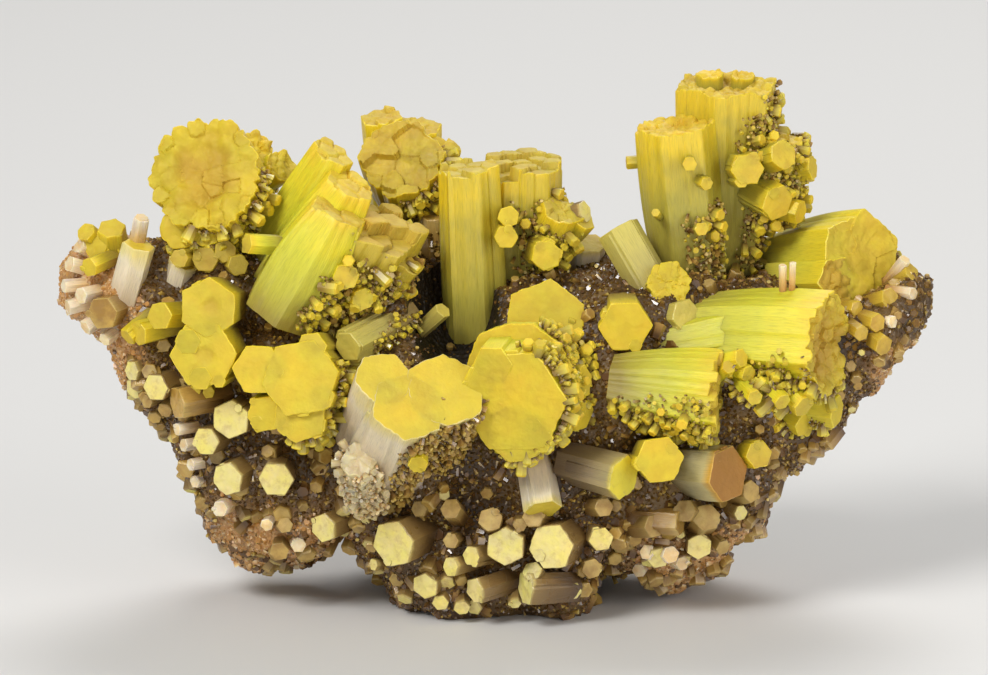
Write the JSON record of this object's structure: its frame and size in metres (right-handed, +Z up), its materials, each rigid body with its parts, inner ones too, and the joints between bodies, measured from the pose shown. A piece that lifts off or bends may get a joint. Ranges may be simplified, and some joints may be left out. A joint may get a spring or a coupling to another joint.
{
  "type": "pyromorphite specimen",
  "caption": "Mineral specimen: yellow-green barrel-shaped pyromorphite crystals grown in clusters on a dark brown druse-covered matrix.",
  "frame": {"origin": "middle of the flat broken foot that the specimen stands on", "axes": "+X along the specimen's length to its right, +Y to its back, +Z up"},
  "size_m": [0.0954, 0.0504, 0.0564],
  "materials": {
    "yellow_crystal": "satin",
    "green_yellow_crystal": "satin",
    "pale_crystal": "satin",
    "brown_crystal": "satin",
    "brown_druse": "satin"
  },
  "bodies": {
    "root": {"left_crown": "yellow_crystal", "pale_left_prism": "pale_crystal", "pale_left_stub": "pale_crystal", "left_double_hexagon": "yellow_crystal", "lower_left_cluster": "yellow_crystal", "olive_prism": "pale_crystal", "leaning_bundle": "green_yellow_crystal", "back_centre_crystals": "yellow_crystal", "centre_tall_bundle": "green_yellow_crystal", "centre_hexagon": "yellow_crystal", "right_hexagon": "yellow_crystal", "upper_middle_prisms": "pale_crystal", "upper_middle_hexagon": "yellow_crystal", "tall_right_pair": "green_yellow_crystal", "right_back_barrel": "yellow_crystal", "right_front_barrels": "green_yellow_crystal", "front_centre_pair": "yellow_crystal", "downward_prism": "pale_crystal", "front_right_hexagon": "yellow_crystal", "front_right_prism": "yellow_crystal", "brown_barrel": "brown_crystal", "back_left_barrel": "green_yellow_crystal", "back_middle_pair": "yellow_crystal", "back_right_barrel": "green_yellow_crystal", "matrix": "brown_druse"}
  },
  "joints": []
}
